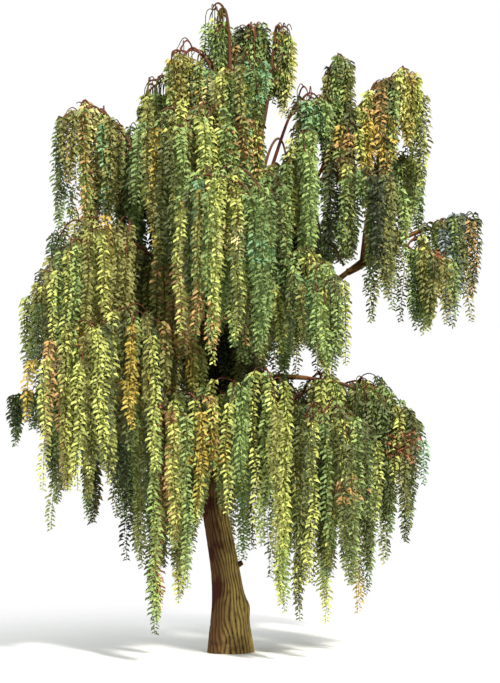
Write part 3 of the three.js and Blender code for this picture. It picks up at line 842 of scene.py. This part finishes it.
def shareThatFits(paths, mass, overlap, clearance, skip=0, reach=None):
    # the share of each path before it leaves its mass's space or reach, or meets a limb
    room, own = roomInSpace(paths, np.broadcast_to(mass[:, None], paths.shape[:2]))
    good = (room > -overlap) & (roomFromLimbs(paths) > clearance)
    if reach is not None:
        front, back = twig["depth"]
        good &= (own < reach[mass][:, None]) & (paths[..., 1] > front) & (paths[..., 1] < back)
    good[:, :skip + 1] = True
    run = np.cumprod(good, axis=1).sum(1) - 1
    return run / (paths.shape[1] - 1)


def joined(parts):
    return {key: np.concatenate([part[key] for part in parts]) for key in parts[0]}


def chosenOf(table, chosen):
    return {key: value[chosen] for key, value in table.items()}


def fromTrunk(points):
    # level distance from the trunk's axis
    return np.linalg.norm((points - trunkCentre(points[:, 2]))[:, :2], axis=1)


def archPaths(twigs):
    # out at a steady pace, up by a parabola that tops just short of the middle and ends below its root
    share = archShare[None, :, None]
    rise = (twig["climb"] * share - twig["fall"] * share ** 2) * twigs["vault"][:, None, None]
    out = direction(twigs["heading"])[:, None]
    return twigs["root"][:, None] + twigs["reach"][:, None, None] * (out * share + upward * rise)


def fitTwigs(twigs, seed, overlap, skip):
    # the twigs as far as they fit, without those that are left too short or cross a gap
    twigs["vault"] = lerp(*twig["vault"], chance(seed, np.arange(len(twigs["mass"]))) ** 1.5)
    paths = archPaths(twigs)
    furthest = massReach * twig["furthest"]
    fit = shareThatFits(paths, twigs["mass"], overlap, twig["clearance"], skip, furthest)
    twigs["reach"] = twigs["reach"] * fit
    twigs = chosenOf(twigs, (fit > twig["least"]) & ~inOpenings(paths, 26).any(1))
    return {**twigs, "path": archPaths(twigs)}


def growTwigs():
    # side twigs in pairs along every stem
    grown = []
    for index, stem in enumerate(stems.values()):
        k = np.arange(max(twig["fewest"], int(lengthOf(stem) / twig["spacing"])))
        share = lerp(*twig["along"][kinds[index]], k / (len(k) - 1))
        swing = lerp(*twig["swing"], share) + (chance(index + 1, k) - 0.5) * twig["swingSpread"]
        grown.append({
            "root": pointOn(stem, share),
            "heading": massHeading[index] + np.where(k % 2, swing, -swing),
            "reach": massReach[index] * lerp(*twig["reaches"], chance(index + 1, k + 20)),
            "mass": np.full(len(k), index),
            "share": share,
        })
    return fitTwigs(joined(grown), 2, 0.05, 2)


def growBranches():
    # shorter twigs to the left and right of every side twig in turn
    count = len(twig["branchSpots"])
    order = np.arange(len(sides["mass"]) * count)
    pick = order // count
    spot = np.array(twig["branchSpots"])[order % count] + (chance(3, order) - 0.5) * twig["branchSpread"]
    turn = np.where(order % 2, 1, -1) * lerp(*twig["branchTurn"], chance(4, order))
    return fitTwigs({
        "root": pointsOn(sides["path"], pick, spot),
        "heading": sides["heading"][pick] + turn,
        "reach": sides["reach"][pick] * lerp(*twig["branchReach"], chance(6, order)),
        "mass": sides["mass"][pick],
        "share": sides["share"][pick],
    }, 22, 0.1, 1)


def whipSpot(root, heading, mass, share, inner=False):
    size = len(root)
    return {"root": root, "heading": heading, "mass": np.full(size, mass), "share": share,
            "inner": np.full(size, inner)}


def whipRoots():
    # places along the stems, side twigs and branches, and inner ones on the boughs near the trunk
    grown = []
    for index, stem in enumerate(stems.values()):
        first = whip["bareStem"] if isBare[index] else twig["along"][kinds[index]][0]
        spots = np.linspace(first, whip["stemEnd"], whip["stemCount"])
        turn = (chance(index + 1, np.arange(len(spots)) + 60) - 0.5) * whip["stemTurn"]
        grown.append(whipSpot(pointOn(stem, spots), massHeading[index] + turn, index, spots))
    for twigs, spots in ((sides, whip["twigSpots"]), (branches, whip["branchSpots"])):
        heading, mass = twigs["heading"], twigs["mass"]
        for spot in spots:
            turn = (chance(7, np.arange(len(mass)) + spot * 10) - 0.5) * whip["twigTurn"]
            found = whipSpot(twigs["path"][:, round(spot * 8)], heading + turn, mass, twigs["share"])
            grown.append(chosenOf(found, (spot > whip["bareTwig"]) | ~isBare[mass]))
    names = list(massTable)
    for name, path in boughPaths.items():
        spots = np.arange(*whip["innerSpots"])
        points = pointOn(path, spots)
        away = fromTrunk(points)
        near = (away < whip["innerReach"]) & (away > trunkRadius(points[:, 2]) + 0.05)
        turn = np.where(np.arange(near.sum()) % 2, whip["innerTurn"], -whip["innerTurn"])
        mass = names.index(name) if name in names else 0
        grown.append(whipSpot(points[near], boughHeadings[name] + turn, mass, spots[near], True))
    return joined(grown)


def growWhips():
    whips = whipRoots()
    root, mass, inner = whips["root"], whips["mass"], whips["inner"]
    whips["order"] = order = np.arange(len(root))
    whips["reach"] = massReach[mass]
    # whips that hang in the same cell make a garland: they share its length and draw in to its middle
    throw = lerp(*whip["throw"], chance(10, order)) * whips["reach"]
    hanging = root[:, :2] + direction(whips["heading"])[:, :2] * throw[:, None]
    cells = np.column_stack([mass, inner, np.floor(hanging / whip["garland"])]).astype(int)
    whips["garland"] = garland = np.unique(cells, axis=0, return_inverse=True)[1].ravel()
    members = np.bincount(garland)
    middle = np.column_stack([np.bincount(garland, hanging[:, i]) / members for i in range(2)])
    whips["pull"] = (middle[garland] - hanging) * whip["gather"]
    whips["pull"][inner] = 0
    hem = lerp(massHem[mass], massTipHem[mass], whips["share"] ** 2) - byMass(whip["lower"])[mass]
    fall = (root[:, 2] - hem) * lerp(*whip["garlandLengths"], chance(19, garland) ** 0.6)
    least = whip["shortest"] * lerp(*whip["shortestSpread"], chance(9, order))
    length = np.maximum(fall * lerp(*whip["lengths"], chance(8, order)), least)
    whips["length"] = np.where(inner, lerp(*whip["innerLengths"], chance(8, order)), length)
    # cut short at the end of its space, at a limb or at a gap
    paths = whipPaths(whips, np.linspace(0, 1, 25))
    fit = shareThatFits(paths, mass, whip["overlap"], whip["clearance"], skip=1)
    shown = np.cumprod(~inOpenings(paths, 25), axis=1).sum(1) / paths.shape[1]
    whips["length"] = length = whips["length"] * np.minimum(np.where(inner, 1, fit), shown)
    keep = (length > whip["shortest"] * 0.6) & (root[:, 2] - length > whip["ground"])
    return chosenOf(whips, keep & (inner | (chance(21, garland) > byMass(whip["open"])[mass])))


def whipPaths(whips, steps):
    # out and down like a chain let go: outward it nears its throw by a falling exponential, and
    # downward it gains the length less what the turn took, with a slow sine sway that grows and
    # a pull towards its garland by the square of its share
    run = steps[None] * whips["length"][:, None]
    turn = 1 - np.exp(-run / whip["bend"])
    throw = lerp(*whip["throw"], chance(10, whips["order"])) * whips["reach"]
    phase = chance(11, whips["order"])[:, None]
    sway = whip["sway"] * np.sin(2 * np.pi * (run / whip["swayLength"] + phase))
    sway = sway * (run / whip["swayFull"]).clip(0, 1)
    out, across = direction(whips["heading"])[:, None], direction(whips["heading"] + 90)[:, None]
    path = whips["root"][:, None] + out * (throw[:, None] * turn)[..., None] + across * sway[..., None]
    path = path - upward * (run - whip["bend"] * turn)[..., None]
    path[..., :2] += whips["pull"][:, None] * steps[None, :, None] ** 2
    return path


sides = growTwigs()
branches = growBranches()
whips = growWhips()
print("side twigs, branches and whips:", *(len(grown["mass"]) for grown in (sides, branches, whips)))


def makeTwigs():
    parts = []
    for paths, heading, ends, corners in (
        (np.stack(list(stems.values())), massHeading, twig["stemRadius"], 6),
        (sides["path"], sides["heading"], twig["twigRadius"], 4),
        (branches["path"], branches["heading"], twig["branchRadius"], 3),
    ):
        radii = lerp(*ends, np.linspace(0, 1, paths.shape[1]))
        parts.append(tubes(paths, radii, corners, direction(heading + 90)))
    points, faces = joinParts(parts)
    finishFoliage(makeMesh("twigs", points, faces, barkMaterial("twigBark", twig, 0.3)))


def makeWhips():
    steps = np.linspace(0, 1, whip["rows"]) ** 1.5
    across = direction(whips["heading"] + 90)
    points, walls, caps = tubes(whipPaths(whips, steps), lerp(*whip["radius"], steps), 3, across)
    finishFoliage(makeMesh("whips", points, [walls, caps], barkMaterial("whipBark", whip, 0.3)))


def finishFoliage(piece):
    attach(piece, "root")
    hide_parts(*foliageNodes)


makeTwigs()
makeWhips()
print("twigs and whips made")


# Leaves

leaf = {
    "spacing": 0.023,  # along the whip
    "fewest": 4,
    "turn": 137.5,  # degrees from one leaf to the next
    "turnSpread": 40,
    "length": 0.17,
    "width": 0.056,
    "sizes": (0.8, 1.15),
    "rise": 22,  # pitch where it leaves the whip
    "riseSpread": 24,
    "fall": -72,  # pitch at its tip
    "roll": (35, 80),  # how far the blade is turned about its own length
    # its five points: share of the length, and of the width to either side
    "stations": (0, 0.25, 0.45, 0.72, 1),
    "edges": (0, -0.46, 0.5, -0.36, 0),
    "bare": (0.05, 0.16),  # share of a whip's top without leaves, and on the masses that show bare
    "tipTaper": 0.55,  # how much shorter leaves are at the whip's end
    "tipLength": 0.45,  # the part of the whip over which they get shorter
    "most": 60000,  # leaves in one piece
    "deep": 0.8,  # how dark the darker tone of a tint is
    "whipRows": 41,
}

tints = {
    "lime": (207, 213, 116),
    "fern": (161, 185, 108),
    "grass": (129, 153, 90),
    "olive": (151, 149, 84),
    "moss": (103, 111, 68),
    "pine": (65, 75, 54),
    "teal": (132, 174, 124),
    "mist": (155, 169, 170),
    "straw": (235, 223, 154),
    "gold": (206, 180, 86),
    "ochre": (199, 159, 100),
    "rust": (173, 113, 82),
}

# how each mass's whips share the tints, in the order above, and those in shade
mixes = {
    "spring": (6, 6, 4, 3, 3, 0, 0.7, 0, 0.5, 0.5, 0.6, 0),
    "meadow": (5, 5, 4, 3, 3, 0, 0.8, 0, 0, 0.4, 0, 0.2),
    "olive": (2, 3, 4, 6, 5, 1, 0, 0.2, 0, 0, 0.4, 0),
    # deep: the darkest tints, dealt to the masses inside, behind and low on the left, as painted shade in
    # the crown
    "deep": (1, 2, 3, 5, 6, 3, 0, 0.2, 0, 0, 0.5, 0),
    "gold": (5, 4, 0, 4, 3, 0, 0, 0, 0.6, 1.6, 1.2, 0),
    "autumn": (4, 4, 0, 6, 4, 0, 0, 0, 0, 0.8, 1.4, 0.1),
    "shade": (0, 0, 2, 4, 5, 3, 0, 0, 0, 0, 1, 0),
}

deal = {
    "shadeReach": 0.85,  # whips this close to the trunk's axis, and no higher than this, are shaded
    "shadeTop": 8.0,
    "own": 0.6,  # share of the whips that don't take their garland's tint
    "patchShare": 0.45,  # share of the leaves of a patch that take its tint
    "patchFray": 0.5,
    # sprays that have turned, on the front of the crown: the middle across and up, radius and tint
    "patches": [
        (0.4, 10.1, 0.6, "ochre"), (-0.8, 6.6, 0.8, "ochre"), (-1.9, 5.4, 0.5, "gold"),
        (3.1, 10.2, 0.65, "gold"), (3.4, 4.2, 0.45, "rust"), (-0.4, 4.1, 0.55, "gold"),
        (2.3, 3.4, 0.35, "ochre"), (0.1, 8.1, 0.5, "straw"), (-1.2, 7.4, 0.5, "ochre"),
        (0.5, 7.9, 0.4, "teal"),
    ],
}


def dealTints():
    # one draw a garland, or a whip's own for some, read off the running total of its mass's mix, or
    # of the last row in shade
    table = np.array([mixes[mix] for mix in (*massMix, "shade")])
    total = np.cumsum(table, axis=1) / table.sum(1, keepdims=True)
    shaded = (fromTrunk(whips["root"]) < deal["shadeReach"]) & (whips["root"][:, 2] < deal["shadeTop"])
    row = np.where(shaded, len(massTable), whips["mass"])
    own = chance(20, whips["order"]) < deal["own"]
    draw = np.where(own, chance(12, whips["order"]), chance(12, whips["garland"]))
    return (draw[:, None] > total[row]).sum(1).clip(0, len(tints) - 1)


def leafBlades():
    # leaves in a spiral down every whip: each is a strip of five points on an arc that turns
    # evenly from its rise to its fall
    bareTop = np.where(isBare, leaf["bare"][1], leaf["bare"][0])[whips["mass"]]
    count = np.maximum((whips["length"] * (1 - bareTop) / leaf["spacing"]).astype(int), leaf["fewest"])
    owner = np.repeat(np.arange(len(count)), count)
    number = np.arange(len(owner)) - np.repeat(np.cumsum(count) - count, count)
    share = bareTop[owner] + (1 - bareTop[owner]) * (number + 0.5) / count[owner]
    root = pointsOn(whipPaths(whips, np.linspace(0, 1, leaf["whipRows"])), owner, share)
    order = np.arange(len(owner))
    heading = number * leaf["turn"] + chance(13, owner) * 360
    heading = heading + (chance(14, order) - 0.5) * leaf["turnSpread"]
    out, side = direction(heading)[:, None], direction(heading + 90)[:, None]
    below = (1 - share) * whips["length"][owner]  # what is left of the whip
    size = lerp(leaf["tipTaper"], 1, (below / leaf["tipLength"]).clip(0, 1))
    size = (size * lerp(*leaf["sizes"], chance(15, order)))[:, None, None]
    rise = leaf["rise"] + (chance(16, order) - 0.5) * leaf["riseSpread"]
    start, bend = np.radians(rise)[:, None], np.radians(leaf["fall"] - rise)[:, None]
    angle = start + bend * np.array(leaf["stations"])
    along = ((np.sin(angle) - np.sin(start)) / bend)[..., None]
    up = (-(np.cos(angle) - np.cos(start)) / bend)[..., None]
    roll = np.radians(lerp(*leaf["roll"], chance(17, order)) * np.where(chance(18, order) > 0.5, 1, -1))
    roll = roll[:, None, None]
    square = -np.sin(angle)[..., None] * out + np.cos(angle)[..., None] * upward
    blade = np.cos(roll) * side + np.sin(roll) * square
    points = root[:, None] + leaf["length"] * size * (along * out + up * upward)
    return points + leaf["width"] * size ** 0.5 * np.array(leaf["edges"])[:, None] * blade, owner


def makeLeaves():
    points, owner = leafBlades()
    tint = dealTints()[owner]
    spot = points[:, 0]
    order = np.arange(len(spot))
    taken = (chance(24, order) < deal["patchShare"]) & (spot[:, 1] < 0)
    for x, z, radius, name in deal["patches"]:
        away = np.hypot(spot[:, 0] - x, spot[:, 2] - z) / radius
        tint[taken & (away + deal["patchFray"] * chance(23, order) < 1)] = list(tints).index(name)
    for index, (name, colour) in enumerate(tints.items()):
        chosen = points[tint == index]
        for part, start in enumerate(range(0, len(chosen), leaf["most"])):
            blades = chosen[start:start + leaf["most"]]
            first = np.arange(len(blades))[:, None] * 5
            faces = [first + [0, 2, 1], first + [1, 2, 3], first + [2, 4, 3]]
            title = f"{name.capitalize()}{part + 1}"
            deep = linear(np.array(colour) * leaf["deep"])
            values = {"Color": linear(colour), "Deep Color": deep, "Patch Scale": 3.0, "Ripple": 0.25}
            material = newMaterial("leaf" + title, leafTone, values, specular=0.25)
            piece = makeMesh("leaves" + title, blades.reshape(-1, 3), faces, material, smooth=False)
            finishFoliage(piece)
    print("leaves made:", len(points))


makeLeaves()

meshes = [o.data for o in bpy.context.scene.objects if o.type == "MESH" and not o.hide_render]
print("triangles:", sum(len(mesh.loops) - 2 * len(mesh.polygons) for mesh in meshes))
shownBox = [list(corner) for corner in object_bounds()]
